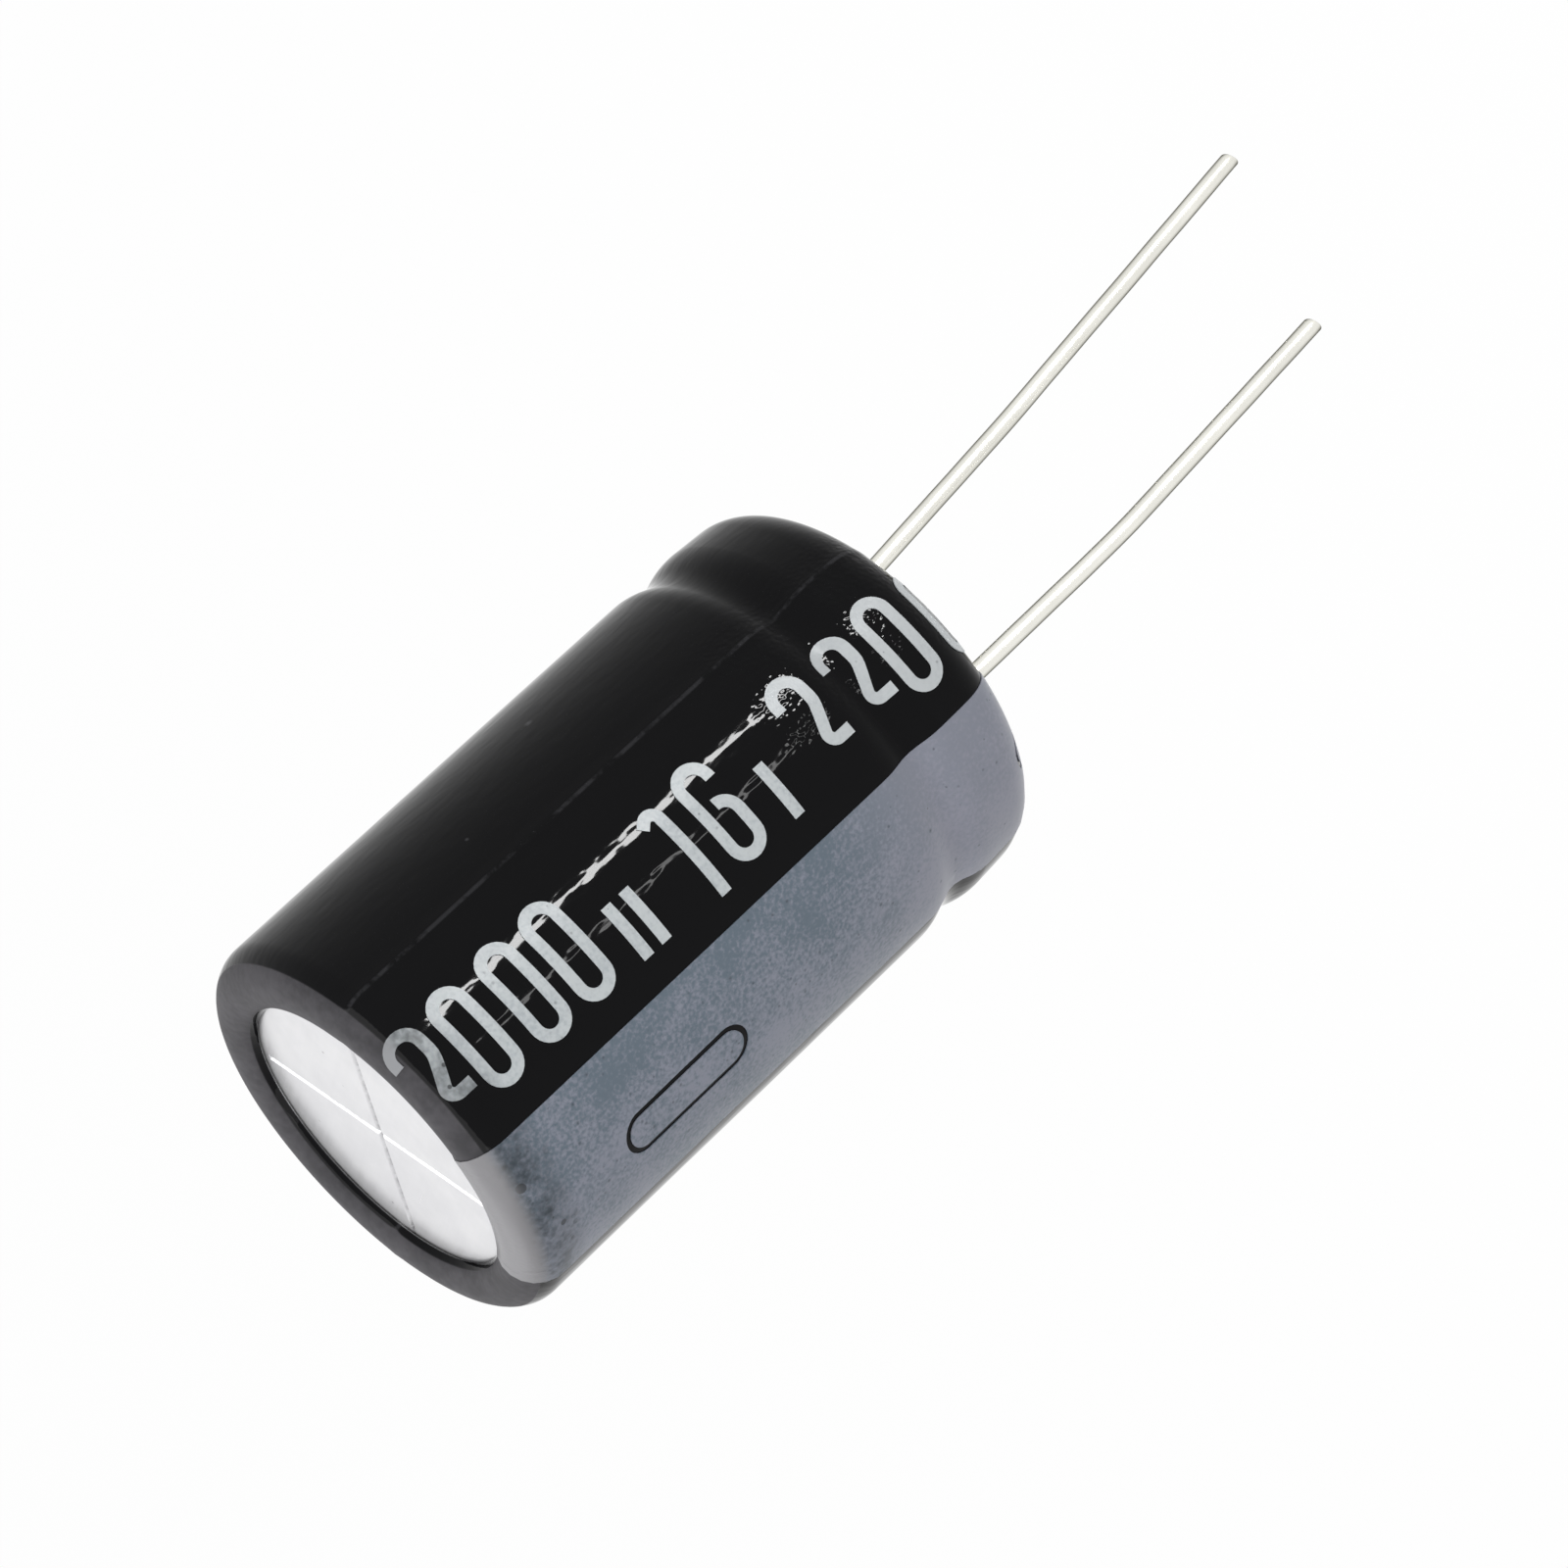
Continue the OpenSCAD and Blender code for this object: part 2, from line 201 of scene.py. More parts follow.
def swell(angle, height):
    """How far the film stands out from a true round at an angle and height, in millimetres."""
    place = Vector((math.cos(angle) * WAVES.x, math.sin(angle) * WAVES.y, height * WAVES.z))
    wave = 0.5 + 0.5 * noise.noise(place)
    off_fold = math.remainder(angle - FOLD_ANGLE, math.pi) * BODY_R
    return WAVE_H * wave + FOLD_H * math.exp(-(off_fold / FOLD_W) ** 2)


def swell_out(bm):
    """Moves each vertex outwards by the swelling."""
    for v in bm.verts:
        angle = math.atan2(v.co.y, v.co.x)
        v.co += along(angle) * swell(angle, v.co.z)


print(f"swelling at the fold: {swell(FOLD_ANGLE, SPLIT_Z):.3f} mm")


# %% Lay a flat drawing on the film
def on_film(s, lift):
    """Radius and height of a point s along the film from its middle, lifted off its outside."""
    steps, heading, side = (fall, -math.pi / 2, 1) if s > 0 else (rise, math.pi / 2, -1)
    at = Vector((CAN_R + FILM_MID, SPLIT_Z, 0))
    left = abs(s)
    for step in steps:
        part = min(1, left / step_length(step))
        left = max(0, left - step_length(step))
        if len(step) == 1:
            at = at + along(heading) * step[0] * part
        else:
            centre = at + across(heading) * math.copysign(step[0], step[1])
            heading += step[1] * part
            at = centre - across(heading) * math.copysign(step[0], step[1])
        if left == 0:
            break
    return at + across(heading) * side * (FILM_T / 2 + lift)


def wrap(bm, turn):
    """Lays a drawing on the film: x runs down the film, y round it from a turn, z stands off."""
    for v in bm.verts:
        place = on_film(v.co.x, v.co.z)
        angle = turn + v.co.y / BODY_R
        v.co = Vector((place.x * math.cos(angle), place.x * math.sin(angle), place.y))
    swell_out(bm)


rim_point = on_film(-RISE_L, 0)
print(f"film's edge at the vent: {rim_point.x:.2f} mm from the axis, {rim_point.y:.2f} mm up")

# %% [markdown]
# ## From mesh to piece
# Every piece is closed, has its faces pointing out, is smooth apart from its true edges, and rides
# on the capacitor's one body.

# %% Finish a piece
SHARP_EDGE = math.radians(40)


def piece(name, bm, material, slot, *replaced):
    """Turns a mesh in millimetres into a piece of the capacitor."""
    bmesh.ops.recalc_face_normals(bm, faces=bm.faces)
    bmesh.ops.scale(bm, verts=bm.verts, vec=(MM, MM, MM))
    mesh = bpy.data.meshes.new(name)
    bm.to_mesh(mesh)
    bm.free()
    mesh.shade_smooth()
    mesh.set_sharp_from_angle(angle=SHARP_EDGE)
    mesh.materials.append(material)
    obj = bpy.data.objects.new(name, mesh)
    bpy.context.scene.collection.objects.link(obj)
    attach(obj, "root")
    if replaced:
        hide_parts(*replaced)
    print(f"{name}: {len(mesh.polygons)} faces")


print(f"edges past {math.degrees(SHARP_EDGE):.0f} degrees stay sharp")

# %% [markdown]
# ## Effects that several finishes share
# Clouded ink, speckled dust and drawn metal all come from a few patterns. Each pattern is a node
# group with named inputs, so every finish can set its own scale and strength. The helpers name a
# node's socket, or give its number. On a Mix node 0 is the share, 2 and 3 are the two numbers, and
# 6 and 7 the two colours. On a Map Range node 0 is the value, 1 and 2 are the range that it comes
# from, and 3 and 4 the range that it goes to.


# %% Node helpers
def add(tree, kind, links=None, **settings):
    """Adds a node, sets its properties and sockets, and links its inputs."""
    node = tree.nodes.new(kind)
    for key, value in settings.items():
        setattr(node, key, value)
    for key, value in (links or {}).items():
        if isinstance(value, bpy.types.NodeSocket):
            tree.links.new(value, node.inputs[key])
        else:
            node.inputs[key].default_value = value
    return node


def calc(tree, operation, a, b, clamp=False):
    """A Math node's output for two sockets or numbers."""
    node = add(tree, "ShaderNodeMath", {0: a, 1: b}, operation=operation, use_clamp=clamp)
    return node.outputs[0]


def ramp(tree, value, start, end):
    """0 before start, 1 past end, and smooth between. start may be the higher of the two."""
    node = add(tree, "ShaderNodeMapRange", {0: value, 1: start, 2: end},
               interpolation_type="SMOOTHSTEP")
    return node.outputs[0]


print("node helpers ready")


# %% Start a node group
def new_group(name, inputs, outputs):
    """A shader node group with named float or vector sockets."""
    group = bpy.data.node_groups.new(name, "ShaderNodeTree")
    for label, value in inputs.items():
        kind = "NodeSocketVector" if value is None else "NodeSocketFloat"
        socket = group.interface.new_socket(label, in_out="INPUT", socket_type=kind)
        if value is not None:
            socket.default_value = value
    for label in outputs:
        group.interface.new_socket(label, in_out="OUTPUT", socket_type="NodeSocketFloat")
    return group, group.nodes.new("NodeGroupInput"), group.nodes.new("NodeGroupOutput")


print("group helper ready")

# %% Clouding: a coarse and a fine noise together
cloud, cloud_in, cloud_out = new_group(
    "clouding", {"Vector": None, "Scale": 500.0, "Fine": 6.0, "Fine share": 0.4}, ["Value"])
coarse = add(cloud, "ShaderNodeTexNoise", {
    "Vector": cloud_in.outputs["Vector"], "Scale": cloud_in.outputs["Scale"], "Detail": 3.0})
fine_scale = calc(cloud, "MULTIPLY", cloud_in.outputs["Scale"], cloud_in.outputs["Fine"])
fine = add(cloud, "ShaderNodeTexNoise", {
    "Vector": cloud_in.outputs["Vector"], "Scale": fine_scale, "Detail": 2.0})
mixed = add(cloud, "ShaderNodeMix", {
    0: cloud_in.outputs["Fine share"], 2: coarse.outputs["Fac"], 3: fine.outputs["Fac"]})
cloud.links.new(mixed.outputs[0], cloud_out.inputs["Value"])
print("group:", cloud.name)

# %% Specks: scattered spots of uneven size
speck, speck_in, speck_out = new_group(
    "specks", {"Vector": None, "Scale": 900.0, "Size": 0.2, "Share": 0.3}, ["Mask"])
cells = add(speck, "ShaderNodeTexVoronoi", {
    "Vector": speck_in.outputs["Vector"], "Scale": speck_in.outputs["Scale"]})
chance = add(speck, "ShaderNodeSeparateColor", {0: cells.outputs["Color"]})
kept = calc(speck, "LESS_THAN", chance.outputs[0], speck_in.outputs["Share"])
spot_size = calc(speck, "MULTIPLY", chance.outputs[1], speck_in.outputs["Size"])
spot = add(speck, "ShaderNodeMapRange", {0: cells.outputs["Distance"], 1: spot_size, 2: 0.0})
masked = calc(speck, "MULTIPLY", spot.outputs[0], kept, clamp=True)
speck.links.new(masked, speck_out.inputs["Mask"])
print("group:", speck.name)

# %% Drawn lines: noise that is stretched along one direction
lines, lines_in, lines_out = new_group(
    "drawn_lines",
    {"Vector": None, "X": 6000.0, "Y": 200.0, "Z": 200.0, "Turn": 0.0, "Detail": 4.0}, ["Value"])
turned = add(lines, "ShaderNodeVectorRotate", {
    "Vector": lines_in.outputs["Vector"], "Angle": lines_in.outputs["Turn"]},
    rotation_type="Z_AXIS")
stretch = add(lines, "ShaderNodeCombineXYZ", {
    0: lines_in.outputs["X"], 1: lines_in.outputs["Y"], 2: lines_in.outputs["Z"]})
stretched = add(lines, "ShaderNodeVectorMath", {0: turned.outputs[0], 1: stretch.outputs[0]},
                operation="MULTIPLY")
hairs = add(lines, "ShaderNodeTexNoise", {
    "Vector": stretched.outputs[0], "Scale": 1.0, "Detail": lines_in.outputs["Detail"]})
lines.links.new(hairs.outputs["Fac"], lines_out.inputs["Value"])
print("group:", lines.name)

# %% Line mark: 1 within half a width of an upright plane through the axis
mark, mark_in, mark_out = new_group(
    "line_mark", {"Vector": None, "Turn": 0.0, "Half width": 0.0001, "Soft": 0.00005}, ["Mask"])
flat = add(mark, "ShaderNodeVectorRotate", {
    "Vector": mark_in.outputs["Vector"], "Angle": mark_in.outputs["Turn"]},
    rotation_type="Z_AXIS")
sides = add(mark, "ShaderNodeSeparateXYZ", {0: flat.outputs[0]})
off = calc(mark, "ABSOLUTE", sides.outputs[1], 0.0)
outside = calc(mark, "ADD", mark_in.outputs["Half width"], mark_in.outputs["Soft"])
near = add(mark, "ShaderNodeMapRange", {0: off, 1: outside, 2: mark_in.outputs["Half width"]})
mark.links.new(near.outputs[0], mark_out.inputs["Mask"])
print("group:", mark.name)

# %% Round and height: the place round the axis and along it, for patterns that follow the wall
round_up, round_in, round_out = new_group(
    "round_and_height", {"Vector": None}, ["Radius", "Height"])
where = add(round_up, "ShaderNodeSeparateXYZ", {0: round_in.outputs["Vector"]})
level = add(round_up, "ShaderNodeCombineXYZ", {0: where.outputs[0], 1: where.outputs[1]})
reach = add(round_up, "ShaderNodeVectorMath", {0: level.outputs[0]}, operation="LENGTH")
round_up.links.new(reach.outputs["Value"], round_out.inputs["Radius"])
round_up.links.new(where.outputs[2], round_out.inputs["Height"])
print("group:", round_up.name)


# %% Start a material and use an effect in it
def start_material(name, **settings):
    """A material with its shader, and the object's own coordinates."""
    material = bpy.data.materials.new(name)
    material.use_nodes = True
    tree = material.node_tree
    shader = tree.nodes["Principled BSDF"]
    for key, value in settings.items():
        shader.inputs[key.replace("_", " ")].default_value = value
    place = tree.nodes.new("ShaderNodeTexCoord").outputs["Object"]
    return material, tree, shader, place


def use(tree, group, place, output, **values):
    """Output of a shared effect with this finish's own values."""
    node = add(tree, "ShaderNodeGroup", node_tree=group)
    tree.links.new(place, node.inputs["Vector"])
    for key, value in values.items():
        node.inputs[key.replace("_", " ")].default_value = value
    return node.outputs[output]


print("material helpers ready")


# %% Colours and bumps
def blend_colors(tree, share, first, second):
    """Mix of two colours, each a socket or an RGB triple."""
    node = add(tree, "ShaderNodeMix", data_type="RGBA")
    for number, value in ((0, share), (6, first), (7, second)):
        if isinstance(value, bpy.types.NodeSocket):
            tree.links.new(value, node.inputs[number])
        elif isinstance(value, tuple):
            node.inputs[number].default_value = (*value, 1)
        else:
            node.inputs[number].default_value = value
    return node.outputs[2]


def shade(color, share):
    """A darker shade of an RGB triple."""
    return tuple(share * c for c in color)


def bumps(tree, shader, height, depth):
    """Raises the surface by a height pattern, depth in metres."""
    node = add(tree, "ShaderNodeBump", {"Height": height, "Distance": depth, "Strength": 1.0})
    tree.links.new(node.outputs[0], shader.inputs["Normal"])


print("colour helpers ready")

# %% [markdown]
# ## Black film
# The sleeve is thin black plastic with a hard gloss. Its colour is nearly nothing, so the look is
# all in the reflections: a low specular level keeps it black where it faces the camera, and fine
# ridges that the shrinking leaves along the wall break the highlights up. At the bead the film had
# to shrink most, and finer crinkles join them there on the figures' side. Over the rim the film is
# stretched and matt, with a painted grey reflection and a crisp edge where it leaves the wall.

# %% Colour of the film
RIM_LINE, LIP_LINE = 0.02973, 0.00679
LINE_SOFT = 0.00003
RIM_SOFT = 0.00005
GLOSS, MATT = 0.04, 0.5
SCRAPED = (0.012, 0.012, 0.013)
film_mat, tree, shader, place = start_material(
    "black_film", Specular_IOR_Level=0.085, Roughness=GLOSS)
level = use(tree, round_up, place, "Height")
radius = use(tree, round_up, place, "Radius")
# The mask over the rim carries a painted grey reflection and the film's matt roughness there.
outer = ramp(tree, radius, LIP_LINE - LINE_SOFT, LIP_LINE + LINE_SOFT)
rim_reflection_and_matt = calc(tree, "MULTIPLY", ramp(tree, level, RIM_LINE - LINE_SOFT, RIM_LINE + RIM_SOFT), outer)
peel = use(tree, cloud, place, "Value", Scale=900.0, Fine=5.0, Fine_share=0.3)
soft_peel = use(tree, cloud, place, "Value", Scale=300.0, Fine=9.0, Fine_share=0.4)
dust = use(tree, speck, place, "Mask", Scale=700.0, Size=0.16, Share=0.12)
scars = use(tree, speck, place, "Mask", Scale=520.0, Size=0.22, Share=0.1)
fold = use(tree, mark, place, "Mask", Turn=-FOLD_ANGLE, Half_width=0.00005, Soft=0.00007)
broken = calc(tree, "MULTIPLY", fold, ramp(tree, peel, 0.4, 0.6))
scuffed = calc(tree, "MAXIMUM", dust, calc(tree, "MULTIPLY", broken, 0.4))
wall = blend_colors(tree, scuffed, (0.0025, 0.0025, 0.003), (0.05, 0.05, 0.055))
# Over the rim the colour is a painted grey reflection, clouded a little.
grey = blend_colors(tree, ramp(tree, soft_peel, 0.35, 0.65),
                    (0.034, 0.033, 0.036), (0.054, 0.052, 0.057))
marked = blend_colors(tree, scars, grey, SCRAPED)
tree.links.new(blend_colors(tree, rim_reflection_and_matt, wall, marked), shader.inputs["Base Color"])
print("material:", film_mat.name)

# %% Gloss and bumps of the film
CRINKLE_TURN = math.radians(246)
CRINKLE_TOP, CRINKLE_FULL = 0.0100, 0.0085
CRINKLE_SHARE = 1.6
RIDGE_DEPTH = 0.000013
rough = add(tree, "ShaderNodeMix", {0: rim_reflection_and_matt, 2: GLOSS, 3: MATT})
tree.links.new(rough.outputs[0], shader.inputs["Roughness"])
ridges = use(tree, lines, place, "Value", X=2200.0, Y=2200.0, Z=850.0, Detail=1.0)
crinkles = use(tree, lines, place, "Value", X=5400.0, Y=5400.0, Z=4600.0, Detail=0.0)
worked = use(tree, mark, place, "Mask", Turn=-CRINKLE_TURN, Half_width=0.0024, Soft=0.0016)
near_bead = calc(tree, "MULTIPLY", ramp(tree, level, CRINKLE_TOP, CRINKLE_FULL), worked)
crinkled = calc(tree, "MULTIPLY", calc(tree, "MULTIPLY", crinkles, near_bead), CRINKLE_SHARE)
bumps(tree, shader, calc(tree, "ADD", ridges, crinkled), RIDGE_DEPTH)
print("gloss and bumps:", film_mat.name)

# %% [markdown]
# ## Printed ink
# The stripe and the figures are pale ink, pressed on before the film shrank. The shrinking packs
# the pigment into clouds and pinholes, so the ink gets two colours with clouding between them, dark
# pinholes and a slightly rough gloss. A painted shade darkens it towards one side. Just below the
# rim the ink is cracked, dark and flaked, over the rim it is stretched to a plain grey, and near
# the bead a painted light makes it lighter and even. One function makes both inks.

# %% Ink material
AT_BEAD_FROM, AT_BEAD_FULL = 0.0115, 0.0050
CRACKS_FROM, CRACKS_FULL = 0.0272, 0.0287
INK_GRAIN = 0.000012


def ink(name, dark, light, over_rim, at_bead, pinholes, shade_turn):
    """Mottled ink with a painted shade to one side and a painted light near the bead,
    darker below the rim and plain over the rim.
    """
    material, tree, shader, place = start_material(name, Specular_IOR_Level=0.25, Roughness=0.35)
    level = use(tree, round_up, place, "Height")
    clouds = use(tree, cloud, place, "Value", Scale=420.0, Fine=14.0, Fine_share=0.6)
    # A painted shade: the ink darkens towards one side of the stripe.
    painted_shade_band = use(tree, mark, place, "Mask", Turn=-shade_turn, Half_width=0.0002, Soft=0.005)
    mottled_and_shaded = calc(tree, "SUBTRACT", clouds, calc(tree, "MULTIPLY", painted_shade_band, 0.13))
    base = blend_colors(tree, ramp(tree, mottled_and_shaded, 0.30, 0.60), dark, light)
    # A painted light: near the bead the ink turns lighter and even.
    painted_bead_light = calc(tree, "MULTIPLY", ramp(tree, level, AT_BEAD_FROM, AT_BEAD_FULL), 0.6)
    base = blend_colors(tree, painted_bead_light, base, at_bead)
    holes = use(tree, speck, place, "Mask", Scale=4200.0, Size=0.5, Share=pinholes)
    pitted = blend_colors(tree, holes, base, shade(dark, 0.5))

    split = use(tree, cloud, place, "Value", Scale=900.0, Fine=4.0, Fine_share=0.4)
    cracks = ramp(tree, split, 0.3, 0.75)
    near_rim = calc(tree, "MULTIPLY", ramp(tree, level, CRACKS_FROM, CRACKS_FULL), 0.75)
    cracked = calc(tree, "MULTIPLY", near_rim, calc(tree, "ADD", cracks, 0.35), clamp=True)
    worn = blend_colors(tree, cracked, pitted, shade(dark, 0.3))
    flakes = use(tree, speck, place, "Mask", Scale=1700.0, Size=0.5, Share=0.45)
    flaked = calc(tree, "MULTIPLY", near_rim, ramp(tree, flakes, 0.1, 0.3))
    worn = blend_colors(tree, flaked, worn, SCRAPED)

    over = ramp(tree, level, RIM_LINE - 0.0005, RIM_LINE + 0.00015)
    tree.links.new(blend_colors(tree, over, worn, over_rim), shader.inputs["Base Color"])
    rough = add(tree, "ShaderNodeMapRange", {0: clouds, 3: 0.24, 4: 0.4})
    tree.links.new(rough.outputs[0], shader.inputs["Roughness"])
    bumps(tree, shader, clouds, INK_GRAIN)
    print("material:", material.name)
    return material


print("ink ready")

# %% The stripe's and the figures' ink
stripe_mat = ink(
    "stripe_ink", dark=(0.110, 0.140, 0.172), light=(0.215, 0.228, 0.275),
    over_rim=(0.165, 0.163, 0.171), at_bead=(0.262, 0.262, 0.310), pinholes=0.10,
    shade_turn=math.radians(208))
figure_mat = ink(
    "figure_ink", dark=(0.36, 0.39, 0.41), light=(0.47, 0.50, 0.51),
    over_rim=(0.19, 0.195, 0.205), at_bead=(0.45, 0.47, 0.48), pinholes=0.06,
    shade_turn=math.radians(321))

# %% [markdown]
# ## Metal
# The can is bright drawn aluminium, and the leads are copper wire with a tin coat. Fine lines along
# the drawing direction change the roughness. The can's skin is dulled by its oxide, so it is only
# about half metallic, and a few specks of dirt sit on it. Dirt also packs into the vent's score,
# the bend round the vent is painted dark as a painted shade, and the wire's colour darkens where it
# turns away, a painted dark reflection.

# %% Metal material
HAIR_DEPTH = 0.000004


def metal(name, color, tint, roughness, scales, turn=0.0, dirt_and_shade=0.0, edge=1.0, metallic=1.0):
    """Drawn metal: fine lines in one direction, a few dull specks and a tint at grazing angles."""
    material, tree, shader, place = start_material(
        name, Metallic=metallic, Specular_Tint=(edge, edge, edge, 1))
    hair = use(tree, lines, place, "Value", X=scales[0], Y=scales[1], Z=scales[2], Turn=turn)
    clouds = use(tree, cloud, place, "Value", Scale=180.0, Fine=5.0, Fine_share=0.3)
    specks = use(tree, speck, place, "Mask", Scale=2200.0, Size=0.3, Share=dirt_and_shade)
    base = blend_colors(tree, ramp(tree, clouds, 0.35, 0.65), color, tint)
    tree.links.new(blend_colors(tree, specks, base, shade(color, 0.3)),
                   shader.inputs["Base Color"])
    rough = add(tree, "ShaderNodeMapRange", {0: hair, 3: roughness * 0.7, 4: roughness * 1.3})
    tree.links.new(rough.outputs[0], shader.inputs["Roughness"])
    bumps(tree, shader, hair, HAIR_DEPTH)
    print("material:", material.name)
    return material, tree, shader, place


can_mat, tree, shader, place = metal(
    "drawn_aluminium", (0.55, 0.55, 0.565), (0.61, 0.61, 0.62), 0.24, (5000, 160, 160),
    turn=0.5, dirt_and_shade=0.06, metallic=0.55)

# %% Dirt in the vent's score, and painted shade in the bend round it
SCORE_TURN = math.radians(174.8)
BEND_FROM, BEND_FULL = 0.02955, 0.02961
clean = shader.inputs["Base Color"].links[0].from_socket
grains = use(tree, cloud, place, "Value", Scale=1200.0, Fine=4.0, Fine_share=0.5)
packed = use(tree, mark, place, "Mask", Turn=math.pi / 2 - SCORE_TURN, Half_width=0.00003,
             Soft=0.00012)
loose = use(tree, mark, place, "Mask", Turn=-SCORE_TURN, Half_width=0.00002, Soft=0.00008)
dots = calc(tree, "MULTIPLY", loose, ramp(tree, grains, 0.53, 0.60))
# Above this height the metal is painted dark: a painted shade in the bend round the vent.
bend_shade = ramp(tree, use(tree, round_up, place, "Height"), BEND_FROM, BEND_FULL)
filled = calc(tree, "MULTIPLY", packed, ramp(tree, grains, 0.2, 0.9))
# The dark colour is dirt in the score and painted shade in the bend.
dirt_and_shade = calc(tree, "MAXIMUM", calc(tree, "MAXIMUM", filled, dots), bend_shade)
tree.links.new(blend_colors(tree, dirt_and_shade, clean, (0.06, 0.06, 0.063)), shader.inputs["Base Color"])
print("dirt in the score")

# %% The tabs' aluminium
tab_mat, *_ = metal(
    "tab_aluminium", (0.70, 0.70, 0.70), (0.80, 0.80, 0.80), 0.35, (4000, 4000, 200))

# %% Tinned wire, with a painted dark reflection where it turns away
wire_mat, tree, shader, _ = metal(
    "tinned_wire", (0.80, 0.79, 0.73), (0.88, 0.87, 0.81), 0.24, (300, 300, 40),
    dirt_and_shade=0.01, edge=0.3)
clean = shader.inputs["Base Color"].links[0].from_socket
# Layer Weight darkens the colour towards the wire's edges: a painted reflection of dark
# surroundings.
turning = add(tree, "ShaderNodeLayerWeight", {"Blend": 0.5}).outputs["Facing"]
painted_dark_edge = ramp(tree, turning, 0.25, 0.75)
tree.links.new(blend_colors(tree, painted_dark_edge, clean, (0.30, 0.295, 0.25)), shader.inputs["Base Color"])
print("edges of the wire")

# %% [markdown]
# ## Rubber, paper and tape
# The seal is dull black rubber with a bloom of pale dust. The roll inside shows the edges of its
# paper and foil, soaked a warm brown, and a strip of plain tape holds it.


# %% Dull materials
def dull(name, dark, light, roughness, scale, depth):
    """A dull surface, clouded between two colours and lightly grained."""
    material, tree, shader, place = start_material(
        name, Specular_IOR_Level=0.3, Roughness=roughness)
    clouds = use(tree, cloud, place, "Value", Scale=scale, Fine=8.0, Fine_share=0.5)
    tree.links.new(blend_colors(tree, ramp(tree, clouds, 0.35, 0.65), dark, light),
                   shader.inputs["Base Color"])
    bumps(tree, shader, clouds, depth)
    print("material:", material.name)
    return material


seal_mat = dull("seal_rubber", (0.016, 0.016, 0.017), (0.035, 0.035, 0.036), 0.7, 700.0, 0.00003)
roll_mat = dull("roll_paper", (0.42, 0.32, 0.19), (0.62, 0.52, 0.36), 0.8, 500.0, 0.00002)
tape_mat = dull("roll_tape", (0.50, 0.36, 0.16), (0.60, 0.45, 0.22), 0.5, 300.0, 0.00001)

# %% [markdown]
# ## The sleeve
# The film's section is a strip as thick as the film, dragged along the path both ways from the
# middle. Its outline is then spun once round the axis, which is how a round sheet part is drawn.

# %% Spin the sleeve
SLEEVE_TURNS = 288
SLEEVE_RUN = 1.2
MERGE = 0.001
bm = bmesh.new()
middle = Vector((CAN_R + FILM_MID, SPLIT_Z, 0))
for heading, steps in ((math.pi / 2, rise), (-math.pi / 2, [*fall, (FOOT_LIP,)])):
    drag(bm, pen_edge(bm, middle, heading, FILM_T), middle, heading, steps, run_part=SLEEVE_RUN)
bmesh.ops.remove_doubles(bm, verts=bm.verts, dist=MERGE)
section = list(bm.faces)
outline = [e for e in bm.edges if len(e.link_faces) == 1]
stand_up(bm)
bmesh.ops.spin(
    bm, geom=outline + list({v for e in outline for v in e.verts}), cent=(0, 0, 0),
    axis=(0, 0, 1), dvec=(0, 0, 0), angle=2 * math.pi, steps=SLEEVE_TURNS, use_merge=True)
bmesh.ops.delete(bm, geom=section, context="FACES")
swell_out(bm)
piece("film_sleeve", bm, film_mat, "film", "sleeve")

# %% [markdown]
# ## The stripe and its minus marks
# The stripe is one field of ink with the outlines of the minus marks left free. It is drawn flat,
# filled between its outlines, cut into a grid so that it can bend, thickened and laid on the film.
# The first mark shows whole, and only the second one's tip lies on the film before its end.

# %% Measures of the stripe and its marks, in millimetres
STRIPE_W = 8.2
STRIPE_TURN, MARK_TURN = math.radians(182.7), math.radians(181.5)
MARK_L, MARK_W, MARK_LINE, MARK_PITCH = 6.9, 2.1, 0.26, 23.65
MARK_Z = 21.1
MARK_SIDE = (MARK_TURN - STRIPE_TURN) * BODY_R
INK_T, INK_FIT = 0.05, 0.004
GRID = 0.45
mark_at = SPLIT_Z - MARK_Z
next_tip = mark_at + MARK_PITCH - MARK_L / 2
print(f"second mark's tip {FALL_L - next_tip:.2f} mm from the film's end")


# %% Outlines of the marks
def loop_of(bm, points):
    """A closed loop of edges through the points."""
    verts = [bm.verts.new(p) for p in points]
    return [bm.edges.new((a, b)) for a, b in zip(verts, verts[1:] + verts[:1])]


def round_bar(bm, at, length, width):
    """Outline of a bar with round ends that lies along X."""
    made = bmesh.ops.create_circle(bm, segments=32, radius=width / 2)["verts"]
    for v in made:
        v.co.x += math.copysign((length - width) / 2, v.co.x if abs(v.co.x) > 1e-6 else 1)
    bmesh.ops.translate(bm, verts=made, vec=at)
    return list({e for v in made for e in v.link_edges})


def tip(start, width, segments=16, end_gap=0.02):
    """Points round the first end of a bar that runs off the film's end."""
    radius = width / 2
    turns = [math.radians(270 - 180 / segments * k) for k in range(segments + 1)]
    arc = [(start + radius * (1 + math.cos(a)), MARK_SIDE + radius * math.sin(a), 0)
           for a in turns]
    arc = [point for point in arc if point[0] < FALL_L - end_gap]
    return [(FALL_L, arc[0][1], 0), *arc, (FALL_L, arc[-1][1], 0)]


print("outlines ready")


# %% From a flat outline to a print
def fill(bm, edges):
    """Fills the flat space between outlines."""
    bmesh.ops.triangle_fill(bm, use_beauty=True, edges=edges, normal=(0, 0, 1))


def cut_grid(bm, size):
    """Cuts flat faces along a square grid, so that they can be bent."""
    for axis in (0, 1):
        spots = [v.co[axis] for v in bm.verts]
        normal = Vector((1 - axis, axis, 0))
        for k in range(math.ceil(min(spots) / size), math.ceil(max(spots) / size)):
            bmesh.ops.bisect_plane(bm, geom=bm.verts[:] + bm.edges[:] + bm.faces[:],
                                   plane_co=normal * k * size, plane_no=normal)


